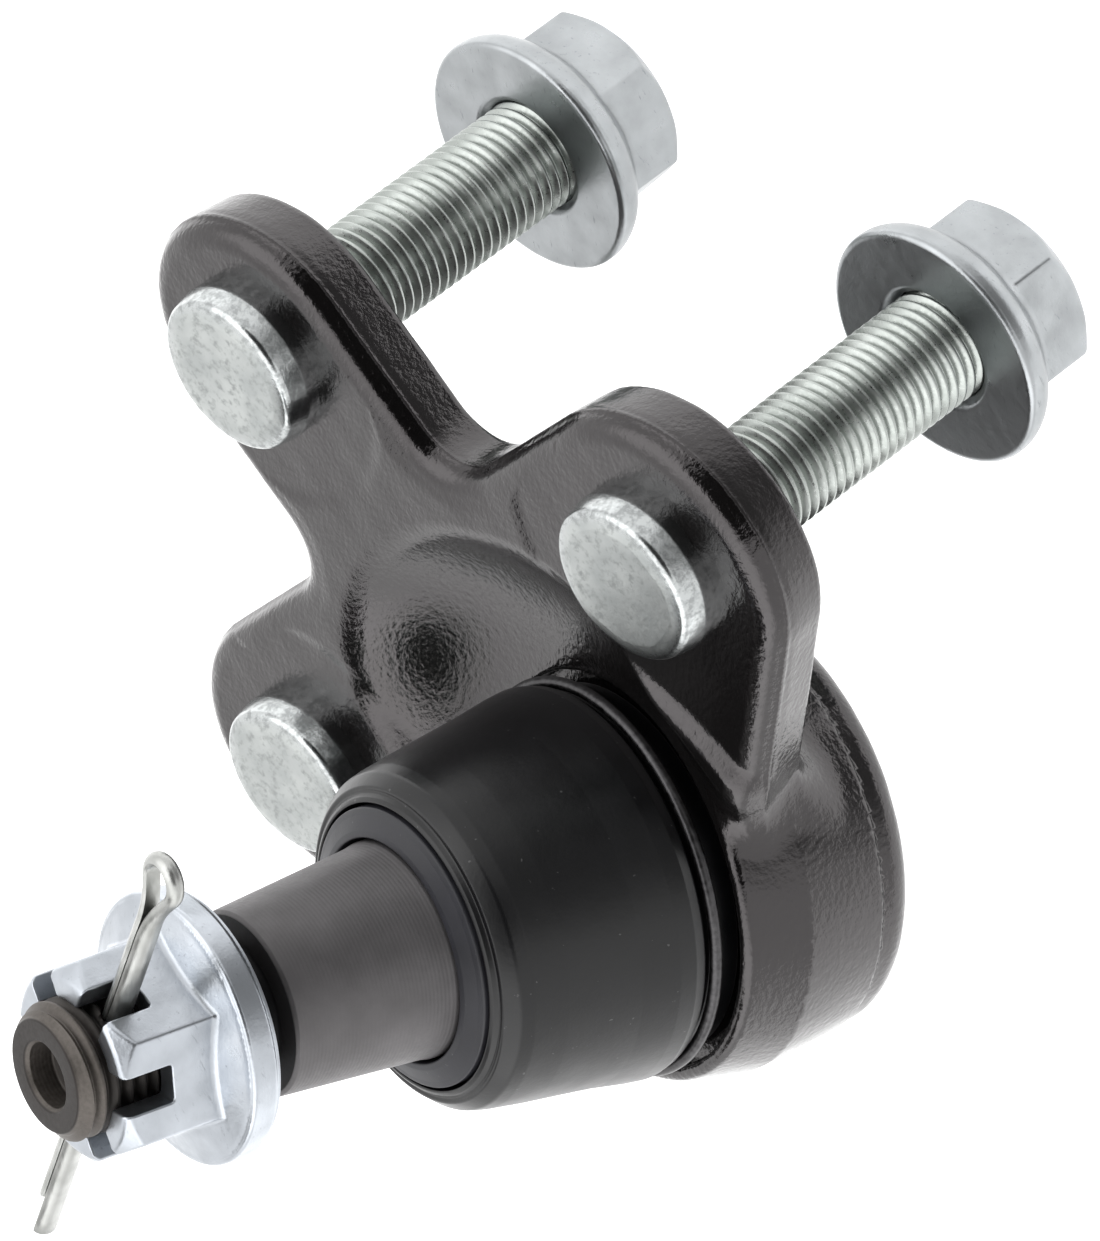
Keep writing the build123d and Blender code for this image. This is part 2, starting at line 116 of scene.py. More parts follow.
# Stud bolts and their nuts
HEAD_R, HEAD_H = 8.95, 4.4
HEAD_TOP = PLATE_T + HEAD_H
HEAD_FACE_R, HEAD_SHOULDER_R = 6.6, 7.3
THREAD_R, THREAD_ROOT_R, THREAD_END_R, THREAD_PITCH = 6.0, 5.22, 4.95, 1.25
SERRATION_R = 6.25
BOLT_REACH = 44.2
NUT_AF, NUT_H, NUT_FLANGE_R = 19.0, 12.1, 13.2
NUT_RIM_T, NUT_RIM_LOW_EDGE, NUT_RIM_TOP_EDGE = 2.5, 0.7, 1.1
NUT_CONE_R, NUT_CONE_H = 9.3, 5.6
NUT_MOUTH_R = 6.9
HEX_CORNER = 12
HEX_TOP_R, HEX_EDGE, HEX_TOP_EDGE = 9.3, 0.3, 0.25
NUT_TURN = math.radians(4.0)
INNER_NUT_Z, LEFT_NUT_Z, RIGHT_NUT_Z = -31.1, -32.7, -31.9
NUT_RUN_OFF = 16.0

# Ball stud, its slotted nut and its pin
BALL_R = 13.5
STUD_NECK_R, STUD_FLARE_H = 7.0, 12.0
SEAL_SEAT_R, SEAL_SEAT_H = 11.2, 20.0
TAPER_TOP_R, TAPER_H, TAPER_END_R, TAPER_END_H = 11.0, 28.5, 9.558, 45.8
RELIEF_R = 6.1
TURNING_PITCH = 0.42
STUD_THREAD_R, STUD_ROOT_R, STUD_PITCH = 7.0, 6.1, 1.5
CASTLE_AF, CASTLE_H, CASTLE_FLANGE_R, CASTLE_SEAT_H = 19.0, 14.8, 13.9, 50.8
CASTLE_TURN = math.radians(-5.0)
CASTLE_RIM_T, CASTLE_RIM_EDGE = 3.0, 0.5
CASTLE_CONE_R, CASTLE_CONE_H = 9.3, 4.0
CASTLE_TOP_R, CASTLE_MOUTH_R = 9.2, 8.3
SLOT_W, SLOT_DEPTH = 4.0, 5.55
STUD_PROUD = 3.1
STUD_TIP_H = CASTLE_SEAT_H + CASTLE_H + STUD_PROUD
END_HOLE_R, END_HOLE_DEPTH = 3.3, 4.2
PIN_TURN = math.radians(205.0)
PIN_LEG_R, PIN_GAP = 1.4, 0.06
PIN_SEAT_GAP = 0.65
PIN_H = CASTLE_SEAT_H + CASTLE_H - SLOT_DEPTH + PIN_LEG_R + PIN_SEAT_GAP
PIN_HOLE_R = 1.65
PIN_SHORT_LEG, PIN_LONG_LEG = 22.5, 27.5
PIN_NECK, PIN_EYE_TOP, PIN_EYE_R = 19.5, 30.7, 1.7
PIN_WIRE_T = 1.2
PIN_TOUCH = math.radians(112)
PIN_EYE_THINNER = 0.3
PIN_END_R = 0.18

# Boot, the sprung ring round its foot and the seal in its small end
BOOT_R = 20.45
BOOT_FOOT_IN_R, BOOT_FOOT_OUT_R, BOOT_FOOT_H = 17.9, 19.1, 0.2
RING_R, RING_H, RING_WIRE_R = 20.05, 3.6, 0.65
SEAL_OUT_R, SEAL_LOW_H = 14.4, 25.0

# Fields that make one body reach this far into each other
OVERLAP = 1.0
# Scale that makes the sum of two distances the distance to a 45 degree chamfer
ROOT_HALF = math.sqrt(0.5)
# Segments of each fillet in a turned profile, and grid steps of the meshes made from fields
ARC_STEPS = 6
HOUSING_STEP, FLANGE_NUT_STEP, CASTLE_NUT_STEP = 0.42, 0.22, 0.2


def rounded_union(a, b, r):
    """Union of two distance fields with a fillet of radius r in the corner between them."""
    return np.maximum(r, np.minimum(a, b)) - np.hypot(np.maximum(r - a, 0), np.maximum(r - b, 0))


def rounded_cut(a, b, r):
    """Part of field a inside field b, with the edge between them rounded to radius r."""
    return np.minimum(-r, np.maximum(a, b)) + np.hypot(np.maximum(r + a, 0), np.maximum(r + b, 0))


def ease(t):
    """Smooth step from 0 to 1."""
    t = np.clip(t, 0, 1)
    return t * t * (3 - 2 * t)


def beyond(r, h, start, end):
    """Distance of (r, h) beyond the line from start to end, on its right hand."""
    dr, dh = end[0] - start[0], end[1] - start[1]
    return ((r - start[0]) * dh - (h - start[1]) * dr) / math.hypot(dr, dh)


def circle_through(a, b, c):
    """Centre and radius of the circle through three points."""
    m = np.array([[b[0] - a[0], b[1] - a[1]], [c[0] - a[0], c[1] - a[1]]])
    k = np.array([p[0] ** 2 - a[0] ** 2 + p[1] ** 2 - a[1] ** 2 for p in (b, c)]) / 2
    x, y = np.linalg.solve(m, k)
    return x, y, math.hypot(a[0] - x, a[1] - y)


def outline(x, y):
    """Distance outside the plate's outline at its parting line."""
    ax = np.abs(x)
    outer = np.hypot(ax - OUTER_X, y) - OUTER_LOBE_R
    inner = np.hypot(x, y + INNER_REACH) - INNER_LOBE_R
    arm = np.maximum(np.maximum(ax - INNER_LOBE_R, -INNER_REACH - y), y - ARM_END_Y)
    bar = np.maximum(np.maximum(-OUTER_LOBE_R - y, y - BAR_END_Y), ax - OUTER_X)
    across = (ax - OUTER_X) * math.sin(WEB_SLOPE) + y * math.cos(WEB_SLOPE) - OUTER_LOBE_R
    along = (ax - OUTER_X) * math.cos(WEB_SLOPE) - y * math.sin(WEB_SLOPE)
    web = np.maximum(np.maximum(across, along), WEB_END_Y - y)
    wide = np.minimum(np.minimum(outer, bar), web)
    return rounded_union(wide, np.minimum(inner, arm), WAIST_FILLET_R)


def forging_wave(x, y, z):
    """Slow unevenness of a forged skin, between -1 and 1."""
    a = np.sin(0.42 * x + 1.3 * np.sin(0.21 * y) + 0.5) * np.sin(0.37 * y + 0.9 * np.sin(0.3 * z + 0.17 * x))
    b = np.sin(0.93 * x - 0.71 * y + 1.1) * np.sin(0.83 * z + 0.64 * y + 0.4 * x)
    return 0.65 * a + 0.35 * b


def forging(x, y, z):
    """Plate and cup with draft, edges, raised island, ridge, flash and fillets, before any cutting."""
    side = outline(x, y)
    raised = ease(
        np.minimum.reduce(
            [
                -side - ISLAND_INSET,
                np.hypot(x, y + INNER_REACH) - INNER_LOBE_R - PAD_MARGIN,
                np.hypot(np.abs(x) - OUTER_X, y) - OUTER_LOBE_R - PAD_MARGIN,
            ]
        )
        / ISLAND_EDGE
    )
    ax = np.abs(x)
    r, h = cup_polar(x, y, z)
    raised = raised * (1 - ease((ax - ISLAND_OFF_X) / 4) * ease((y - ISLAND_OFF_Y) / 5))
    ridge = ease((RIDGE_OUT_R - r) / RIDGE_OUT_W) * ease((r - RIDGE_IN_R) / RIDGE_IN_W)
    ridge = ridge * ease((y - RIDGE_FROM_Y) / 8) * ease((ax - RIDGE_FROM_X - RIDGE_RIGHT_MORE * (x > 0)) / 4)
    top = PLATE_T + ISLAND_RISE * raised + RIDGE_RISE * ridge
    side = (side + np.abs(z - PARTING_Z) * math.tan(DRAFT)) * math.cos(DRAFT)
    side = side - FLASH * ease((r - PLATE_FLASH_R) / 4) * np.exp(-(((z - PARTING_Z) / FLASH_W) ** 2))
    bevel = (side * BEVEL_H + (z - top) * BEVEL_W + BEVEL_W * BEVEL_H) / math.hypot(BEVEL_W, BEVEL_H)
    plate = rounded_cut(rounded_cut(side, bevel, BEVEL_R), z - top, FRONT_EDGE_R)
    plate = rounded_cut(plate, -z, REAR_EDGE_R)
    wall = np.maximum(
        beyond(r, h, (BELLY_R, BELLY_H), (RIM_OUT_R, RIM_H)),
        beyond(r, h, (SKIRT_R, SKIRT_H), (BELLY_R, BELLY_H)),
    )
    wall = wall - FLASH * ease((BELLY_FLASH_Z - z) / 4) * np.exp(-(((h - BELLY_H) / FLASH_W) ** 2))
    wall = rounded_cut(wall, SKIRT_H - h, SKIRT_STEP)
    lip = rounded_cut(r - SKIRT_R + SKIRT_STEP, CUP_LOW_H - h, LIP_ROUND)
    lip = np.maximum(lip, h - SKIRT_H - OVERLAP)
    cup = np.maximum(np.minimum(wall, lip), h - NECK_TOP_H)
    fillet = CUP_FILLET_R + CUP_FILLET_MORE * ease(0.5 - z / CUP_FILLET_H)
    return rounded_union(plate, cup, fillet) - WAVE * forging_wave(x, y, z)


def cup_polar(x, y, z):
    """Radius and height about the cup's axis."""
    dy, dz = y - BALL[1], z - BALL[2]
    ly = dy * math.cos(CUP_TILT) + dz * math.sin(CUP_TILT)
    return np.hypot(x, ly), -dy * math.sin(CUP_TILT) + dz * math.cos(CUP_TILT)


def housing_field(x, y, z):
    """The finished housing: forging with its dish, boot groove, neck, bore and bolt holes.

    The dish sweeps up in front of the boot; beside it, a bank ends the dish nearer to the cup.
    """
    body = forging(x, y, z)
    r, h = cup_polar(x, y, z)
    rim, middle, edge = (RIM_OUT_R, RIM_H), (DISH_MID_R, DISH_MID_H), (DISH_R, DISH_H)
    dish_r, dish_h, dish_curve = circle_through(rim, middle, edge)
    dish = np.hypot(r - dish_r, h - dish_h) - dish_curve
    from_front = np.arccos(np.clip((BALL[1] - y) / np.maximum(np.hypot(x, y - BALL[1]), 0.1), -1, 1))
    crest_r = DISH_SIDE_R + (DISH_R - DISH_SIDE_R) * (1 - ease((from_front - DISH_FADE_START) / DISH_FADE))
    bank = (r - crest_r) * 0.8 - (h - DISH_BANK_H) * 0.6
    room = np.minimum(rounded_cut(dish, bank, DISH_BANK_R), np.maximum(r - RIM_OUT_R, RIM_H - h))
    body = rounded_cut(body, -room, DISH_EDGE_R)
    body = rounded_cut(body, -np.maximum(r - GROOVE_R, GROOVE_H - h), GROOVE_EDGE_R)
    neck = rounded_cut(r - NECK_R, h - NECK_TOP_H, NECK_EDGE_R)
    collar = rounded_cut(r - NECK_LIP_R, h - NECK_TOP_H + NECK_LIP_STEP, NECK_LIP_STEP)
    collar = rounded_cut(collar, NECK_LIP_H - h, NECK_EDGE_R)
    body = np.minimum(body, np.maximum(np.minimum(neck, collar), GROOVE_H - OVERLAP - h))
    bore = np.minimum.reduce(
        [
            np.maximum(np.hypot(r, h) - BORE_R, -h),
            np.maximum(np.maximum(r - BORE_R, h), CAP_TOP_H - h),
            np.maximum(np.maximum(r - CAP_R, h - CAP_TOP_H), CAP_LOW_H - h),
            np.maximum(r - LIP_IN_R, h - CAP_LOW_H),
        ]
    )
    body = rounded_cut(body, -bore, BORE_EDGE_R)
    for bx, by in BOLTS.values():
        body = rounded_cut(body, SERRATION_R - np.hypot(x - bx, y - by), BORE_EDGE_R)
    return body


def hexagon(x, y, turn):
    """Distance outside a hexagon of no size, a corner at the given turn, with softened corners."""
    d = None
    for k in range(3):
        a = turn + math.radians(30 + 60 * k)
        face = np.abs(x * math.cos(a) + y * math.sin(a))
        d = face if d is None else np.logaddexp(HEX_CORNER * d, HEX_CORNER * face) / HEX_CORNER
    return d


def flange_nut_field(x, y, z):
    """Flange nut with its bearing face at z=0 and its hexagon above."""
    r = np.hypot(x, y)
    cone = beyond(r, z, (NUT_FLANGE_R, NUT_RIM_T), (NUT_CONE_R, NUT_CONE_H))
    body = rounded_cut(rounded_cut(r - NUT_FLANGE_R, -z, NUT_RIM_LOW_EDGE), cone, NUT_RIM_TOP_EDGE)
    hexa = rounded_cut(hexagon(x, y, -NUT_TURN) - NUT_AF / 2, z - NUT_H, HEX_EDGE)
    hexa = rounded_cut(hexa, (r + z - NUT_H - HEX_TOP_R) * ROOT_HALF, HEX_TOP_EDGE)
    body = rounded_union(body, np.maximum(hexa, OVERLAP - z), 0.6)
    hole = np.minimum(r - THREAD_R - 0.05, (r - NUT_MOUTH_R + z) * ROOT_HALF)
    hole = np.minimum(hole, (r - NUT_MOUTH_R + NUT_H - z) * ROOT_HALF)
    return rounded_cut(body, -hole, 0.15)


def castle_nut_field(x, y, z):
    """Slotted flange nut with its bearing face at z=0 and its slots at the top."""
    r = np.hypot(x, y)
    cone_start = (CASTLE_FLANGE_R - CASTLE_RIM_EDGE, CASTLE_RIM_T)
    cone = beyond(r, z, cone_start, (CASTLE_CONE_R, CASTLE_CONE_H + 0.6))
    body = rounded_cut(r - CASTLE_FLANGE_R, -z, CASTLE_RIM_EDGE)
    body = rounded_cut(body, z - CASTLE_RIM_T, CASTLE_RIM_EDGE)
    body = rounded_union(body, np.maximum(cone, r - CASTLE_FLANGE_R + 0.6), 0.25)
    hexa = rounded_cut(hexagon(x, y, CASTLE_TURN) - CASTLE_AF / 2, z - CASTLE_H, HEX_EDGE)
    hexa = rounded_cut(hexa, (r + z - CASTLE_H - CASTLE_TOP_R) * ROOT_HALF, HEX_TOP_EDGE)
    body = rounded_union(body, np.maximum(hexa, OVERLAP - z), 0.45)
    body = rounded_cut(body, STUD_THREAD_R + 0.06 - r, 0.2)
    body = rounded_cut(body, (CASTLE_MOUTH_R - r - z) * ROOT_HALF, 0.2)
    for k in range(3):
        a = CASTLE_TURN + math.radians(30 + 60 * k)
        across = np.abs(y * math.cos(a) - x * math.sin(a)) - SLOT_W / 2
        slot = rounded_cut(across, CASTLE_H - SLOT_DEPTH - z, 0.4)
        body = rounded_cut(body, -slot, 0.22)
    return body


def field_mesh(field, low, high, step):
    """Quads on the zero level of a field, between two corners of a grid, with the field's own normals.

    Each cell that the level passes through gets one vertex, which is then drawn onto the level.
    """
    ticks = [np.arange(a, b + step, step, dtype=np.float32) for a, b in zip(low, high)]
    nx, ny, nz = (len(t) for t in ticks)
    value = np.empty((nx, ny, nz), np.float32)
    yy, zz = np.meshgrid(ticks[1], ticks[2], indexing="ij")
    slab = 24
    for i in range(0, nx, slab):
        xs = ticks[0][i : i + slab][:, None, None]
        value[i : i + slab] = field(xs + 0 * yy, yy + 0 * xs, zz + 0 * xs)
    inside = value < 0
    cells = (nx - 1, ny - 1, nz - 1)
    total, sums = np.zeros(cells, np.int16), np.zeros(cells + (3,), np.float32)
    grid = np.indices(cells, dtype=np.float32)
    for axis in range(3):
        b, c = [k for k in range(3) if k != axis]
        for db in (0, 1):
            for dc in (0, 1):
                start, stop = [0, 0, 0], [0, 0, 0]
                start[b] = stop[b] = db
                start[c] = stop[c] = dc
                stop[axis] = 1
                lo = value[tuple(slice(s, s + n) for s, n in zip(start, cells))]
                hi = value[tuple(slice(s, s + n) for s, n in zip(stop, cells))]
                crossed = (lo < 0) != (hi < 0)
                t = np.where(crossed, lo / np.where(crossed, lo - hi, 1), 0)
                total += crossed
                for k in range(3):
                    offset = t if k == axis else (db if k == b else dc)
                    sums[..., k] += np.where(crossed, grid[k] + offset, 0)
    active = total > 0
    index = np.full(cells, -1, np.int64)
    index[active] = np.arange(active.sum())
    points = sums[active] / total[active][:, None] * step + np.array(low, np.float32)
    home = points.copy()
    for _ in range(4):
        value_here, slope = level_and_slope(field, points, step)
        move = value_here[:, None] * slope / np.maximum((slope**2).sum(1), 1e-6)[:, None]
        points = np.clip(points - move, home - step, home + step)
    quads = []
    for axis in range(3):
        b, c = (axis + 1) % 3, (axis + 2) % 3
        first = [slice(1, -1)] * 3
        second = [slice(1, -1)] * 3
        first[axis], second[axis] = slice(0, -1), slice(1, None)
        a_in, b_in = inside[tuple(first)], inside[tuple(second)]
        for flip in (False, True):
            hit = np.argwhere((a_in & ~b_in) if not flip else (~a_in & b_in))
            base = hit + 1
            base[:, axis] -= 1
            corners = []
            for db, dc in ((-1, -1), (0, -1), (0, 0), (-1, 0)):
                cell = base.copy()
                cell[:, b] += db
                cell[:, c] += dc
                corners.append(index[cell[:, 0], cell[:, 1], cell[:, 2]])
            quad = np.stack(corners[::-1] if flip else corners, 1)
            quads.append(quad)
    quads = np.concatenate(quads)
    quads = quads[(quads >= 0).all(1)]
    slope = level_and_slope(field, points, step)[1]
    return points, quads, slope / np.linalg.norm(slope, axis=1, keepdims=True)


def level_and_slope(field, points, step):
    """Value and gradient of a field at scattered points."""
    points = points.astype(np.float64)
    d = step / 8
    slope = []
    for k in range(3):
        move = np.zeros(3)
        move[k] = d
        slope.append((field(*(points + move).T) - field(*(points - move).T)) / (2 * d))
    return field(*points.T), np.stack(slope, 1)


def piece(name, points, faces, place=HERE, normals=None, sharp=32):
    """Mesh object from points in millimetres, put in place; edges sharper than sharp degrees stay crisp."""
    mesh = bpy.data.meshes.new(name)
    mesh.from_pydata((np.asarray(points, float) * MM).tolist(), [], np.asarray(faces).tolist())
    mesh.validate()
    mesh.update()
    mesh.shade_smooth()
    if normals is not None:
        placed = normals @ np.array(place.to_3x3()).T
        mesh.transform(place)
        mesh.normals_split_custom_set_from_vertices(placed.tolist())
    else:
        work = bmesh.new()
        work.from_mesh(mesh)
        bmesh.ops.remove_doubles(work, verts=work.verts, dist=2e-6)
        bmesh.ops.dissolve_degenerate(work, edges=work.edges, dist=1e-6)
        bmesh.ops.recalc_face_normals(work, faces=work.faces)
        work.to_mesh(mesh)
        work.free()
        mesh.transform(place)
        mesh.set_sharp_from_angle(angle=math.radians(sharp))
    obj = bpy.data.objects.new(name, mesh)
    bpy.context.scene.collection.objects.link(obj)
    return obj


def rounded_profile(corners):
    """Half section through (radius, height, fillet) corners, with each fillet as an arc."""
    out = []
    for i, (r, h, fillet) in enumerate(corners):
        if not fillet or i in (0, len(corners) - 1):
            out.append((r, h))
            continue
        here = Vector((r, h))
        to_last = (Vector(corners[i - 1][:2]) - here).normalized()
        to_next = (Vector(corners[i + 1][:2]) - here).normalized()
        half = to_last.angle(to_next) / 2
        trim = min(
            fillet / math.tan(half),
            0.49 * (Vector(corners[i - 1][:2]) - here).length,
            0.49 * (Vector(corners[i + 1][:2]) - here).length,
        )
        if trim < 0.01:
            out.append((r, h))
            continue
        radius = trim * math.tan(half)
        middle = here + (to_last + to_next).normalized() * (radius / math.sin(half))
        a, b = here + to_last * trim - middle, here + to_next * trim - middle
        sweep = a.angle_signed(b)
        for k in range(ARC_STEPS + 1):
            t = -sweep * k / ARC_STEPS
            spoke = Vector((a.x * math.cos(t) - a.y * math.sin(t), a.x * math.sin(t) + a.y * math.cos(t)))
            out.append(tuple(middle + spoke))
    return out


def rings(profile, around, uneven=None):
    """Rings of points for a half section turned about the z axis; uneven moves them by (radius, height)."""
    angles = np.arange(around) * 2 * math.pi / around
    out = []
    for r, h in profile:
        rr, hh = np.full(around, float(r)), np.full(around, float(h))
        if uneven and r > 0:
            dr, dh = uneven(angles, r, h)
            rr, hh = rr + dr, hh + dh
        out.append(np.stack([rr * np.cos(angles), rr * np.sin(angles), hh], 1))
    return out


def ring_faces(count, around, first=0):
    """Quads between successive closed rings."""
    i = np.arange(around)
    j = (i + 1) % around
    faces = []
    for row in range(count - 1):
        a, b = first + row * around, first + (row + 1) * around
        faces.append(np.stack([a + i, a + j, b + j, b + i], 1))
    return np.concatenate(faces)


def turned(name, corners, place=HERE, around=160, closed=True, uneven=None):
    """Turned piece from a half section; a closed section makes a ring, an open one ends on the axis."""
    profile = rounded_profile(corners)
    loops = rings(profile + profile[:1] if closed else profile, around, uneven)
    return piece(name, np.concatenate(loops), ring_faces(len(loops), around), place)


def screw(low, high, thread, around=120):
    """Points and faces of a turned bar with a helical thread between its low and high half sections.

    The thread is given as its start, end, pitch, crest radius, root radius, and the radii that its
    crest keeps to at its start and end. Its rows follow the helix, so crest and root stay crisp. Rows
    past either end fall together on the end ring and are merged later.
    """
    z0, z1, pitch, crest, root, start_r, end_r = thread
    flank = [(0.06, 1), (0.13, 0.93), (0.40, 0.10), (0.46, 0.0)]
    phases = [(0.0, 1)] + flank + [(0.54, 0.0), (0.60, 0.10), (0.87, 0.93), (0.94, 1)]
    turns = math.ceil((z1 - z0) / pitch) + 2
    angles = np.arange(around) * 2 * math.pi / around
    rows = []
    for k in range(turns):
        for phase, height in phases:
            z = z0 + (k + phase - 1) * pitch + angles / (2 * math.pi) * pitch
            z = np.clip(z, z0, z1)
            r = np.full(around, root + (crest - root) * height)
            r = np.maximum(r, start_r - (z - z0) * 0.9)
            r = np.minimum(r, end_r + (z1 - z) * 1.1)
            rows.append(np.stack([r * np.cos(angles), r * np.sin(angles), z], 1))
    low_rings, high_rings = rings(low, around), rings(high, around)
    points = np.concatenate(low_rings + rows + high_rings)
    per_turn = len(phases)
    first = len(low_rings) * around
    i = np.arange(around - 1)
    faces = [ring_faces(len(low_rings), around)] if len(low_rings) > 1 else []
    for row in range(len(rows) - 1):
        a, b = first + row * around, first + (row + 1) * around
        faces.append(np.stack([a + i, a + i + 1, b + i + 1, b + i], 1))
        if row + per_turn + 1 < len(rows):
            c, d = a + per_turn * around, b + per_turn * around
            faces.append(np.array([[a + around - 1, c, d, b + around - 1]]))
    j = np.arange(around)
    k = (j + 1) % around
    last_low, first_row = first - around, first
    faces.append(np.stack([last_low + j, last_low + k, first_row + k, first_row + j], 1))
    last_row = first + (len(rows) - 1) * around
    faces.append(np.stack([last_row + j, last_row + k, last_row + around + k, last_row + around + j], 1))
    if len(high_rings) > 1:
        faces.append(ring_faces(len(high_rings), around, last_row + around))
    return points, np.concatenate(faces)


def cut(obj, tool):
    """Take the tool's volume out of an object and drop the tool."""
    change = obj.modifiers.new("cut", "BOOLEAN")
    change.operation, change.solver, change.object = "DIFFERENCE", "EXACT", tool
    bpy.context.view_layer.update()
    graph = bpy.context.evaluated_depsgraph_get()
    mesh = bpy.data.meshes.new_from_object(obj.evaluated_get(graph))
    obj.modifiers.clear()
    obj.data = mesh
    bpy.data.objects.remove(tool)


# Housing
low, high = (-55.4, -54.0, -19.0), (55.4, 54.5, 21.4)
points, quads, normals = field_mesh(housing_field, low, high, HOUSING_STEP)
housing = piece("housing_forging", points, quads, HERE, normals)


def head_uneven(angles, r, h):
    """Irregular shoulder of a cold-forged head."""
    near = math.exp(-(((r - 7.0) / 0.9) ** 2)) * float(h > PLATE_T + 2)
    wave = np.sin(3 * angles + 0.4) + 0.7 * np.sin(5 * angles + 2.1) + 0.5 * np.sin(9 * angles + 0.9)
    return near * 0.16 * wave, near * 0.03 * np.sin(4 * angles + 1.0)


# Bolts: a slightly dished head with a shoulder, its serrated neck in the plate, and the threaded shank
head = [
    (0, HEAD_TOP - 0.03, 0),
    (HEAD_FACE_R / 2, HEAD_TOP - 0.05, 2),
    (HEAD_FACE_R, HEAD_TOP, 1.2),
    (HEAD_SHOULDER_R, HEAD_TOP - 0.17, 0.8),
    (HEAD_R - 0.5, HEAD_TOP - 0.42, 1.2),
    (HEAD_R, PLATE_T + 1.5, 1.5),
    (HEAD_R - 0.1, PLATE_T - 0.2, 0),
    (SERRATION_R - 0.02, PLATE_T - 0.2, 0),
    (SERRATION_R - 0.02, 0.05, 0),
    (0, 0.05, 0),
]
shank_low = [(0, -1.0), (THREAD_R, -1.0)]
shank_high = [(THREAD_ROOT_R - 0.15, BOLT_REACH), (0, BOLT_REACH)]
thread = (0.2, BOLT_REACH, THREAD_PITCH, THREAD_R - 0.02, THREAD_ROOT_R, THREAD_R, THREAD_END_R)
heads = {}
for name, (bx, by) in BOLTS.items():
    at = Matrix.Translation((bx * MM, by * MM, 0))
    down = at @ Matrix.Rotation(math.pi, 4, "X")
    heads[name] = turned("bolt_head_" + name, head, at, around=128, closed=False, uneven=head_uneven)
    points, faces = screw(shank_low, shank_high, thread)
    heads[name + "_shank"] = piece("bolt_shank_" + name, points, faces, down, sharp=60)

# Flange nuts
low, high = (-13.8, -13.8, -0.6), (13.8, 13.8, 12.8)
points, quads, normals = field_mesh(flange_nut_field, low, high, FLANGE_NUT_STEP)
nuts = {}
for name, nut_z in (("inner", INNER_NUT_Z), ("left", LEFT_NUT_Z), ("right", RIGHT_NUT_Z)):
    bx, by = BOLTS[name]
    place = Matrix.Translation((bx * MM, by * MM, nut_z * MM)) @ Matrix.Rotation(math.pi, 4, "X")
    nuts[name] = piece("flange_nut_" + name + "_mesh", points, quads, place, normals)

# Castle nut
low, high = (-14.5, -14.5, -0.6), (14.5, 14.5, 16.2)
points, quads, normals = field_mesh(castle_nut_field, low, high, CASTLE_NUT_STEP)
castle_place = CUP @ Matrix.Translation((0, 0, CASTLE_SEAT_H * MM))
castle = piece("castle_nut_mesh", points, quads, castle_place, normals)

# Ball stud
ball_end = math.pi - math.asin(STUD_NECK_R / BALL_R)
ball = [(BALL_R * math.sin(a), -BALL_R * math.cos(a)) for a in np.linspace(0, ball_end, 40)]
shaft = rounded_profile(
    [
        (STUD_NECK_R, ball[-1][1], 0),
        (STUD_NECK_R, STUD_FLARE_H, 3),
        (SEAL_SEAT_R, SEAL_SEAT_H, 2),
        (SEAL_SEAT_R, TAPER_H - 0.5, 0.25),
        (TAPER_TOP_R + 0.05, TAPER_H + 0.1, 0.15),
        (TAPER_TOP_R - 0.05, TAPER_H + 0.7, 0.1),
        (TAPER_END_R + 0.03, TAPER_END_H - 0.4, 0.3),
        (TAPER_END_R - 0.35, TAPER_END_H, 0.15),
        (RELIEF_R + 0.6, TAPER_END_H + 0.05, 0.5),
        (RELIEF_R, TAPER_END_H + 0.8, 0.6),
        (RELIEF_R, CASTLE_SEAT_H - 1.0, 0.3),
        (STUD_THREAD_R - 0.5, CASTLE_SEAT_H - 0.2, 0),
    ]
)
tip = rounded_profile(
    [
        (STUD_ROOT_R - 0.1, STUD_TIP_H - 0.35, 0),
        (STUD_ROOT_R - 0.35, STUD_TIP_H, 0.2),
        (END_HOLE_R + 0.45, STUD_TIP_H, 0.2),
        (END_HOLE_R + 0.05, STUD_TIP_H - 0.45, 0.2),
        (END_HOLE_R, STUD_TIP_H - 3.0, 0.3),
        (0, STUD_TIP_H - END_HOLE_DEPTH, 0),
    ]
)
thread = (
    CASTLE_SEAT_H - 0.2,
    STUD_TIP_H - 0.35,
    STUD_PITCH,
    STUD_THREAD_R - 0.02,
    STUD_ROOT_R,
    STUD_THREAD_R - 0.5,
    STUD_ROOT_R - 0.1,
)
points, faces = screw(ball + shaft[1:], tip, thread, around=144)
stud = piece("ball_stud_mesh", points, faces, CUP, sharp=60)
pin_place = CUP @ Matrix.Translation((0, 0, PIN_H * MM)) @ Matrix.Rotation(PIN_TURN, 4, "Z")
bar = [(0, -9, 0), (PIN_HOLE_R, -9, 0), (PIN_HOLE_R, 9, 0), (0, 9, 0)]
drill = turned("drill", bar, pin_place @ Matrix.Rotation(math.pi / 2, 4, "Y"), around=48, closed=False)
cut(stud, drill)

# Cotter pin: half-round wire, bent back on itself round an eye, with its flat sides together
loop_x = PIN_EYE_TOP - PIN_WIRE_T - PIN_EYE_R
touch = np.array([loop_x + PIN_EYE_R * math.cos(PIN_TOUCH), PIN_EYE_R * math.sin(PIN_TOUCH)])
touch_way = np.array([math.sin(PIN_TOUCH), -math.cos(PIN_TOUCH)])


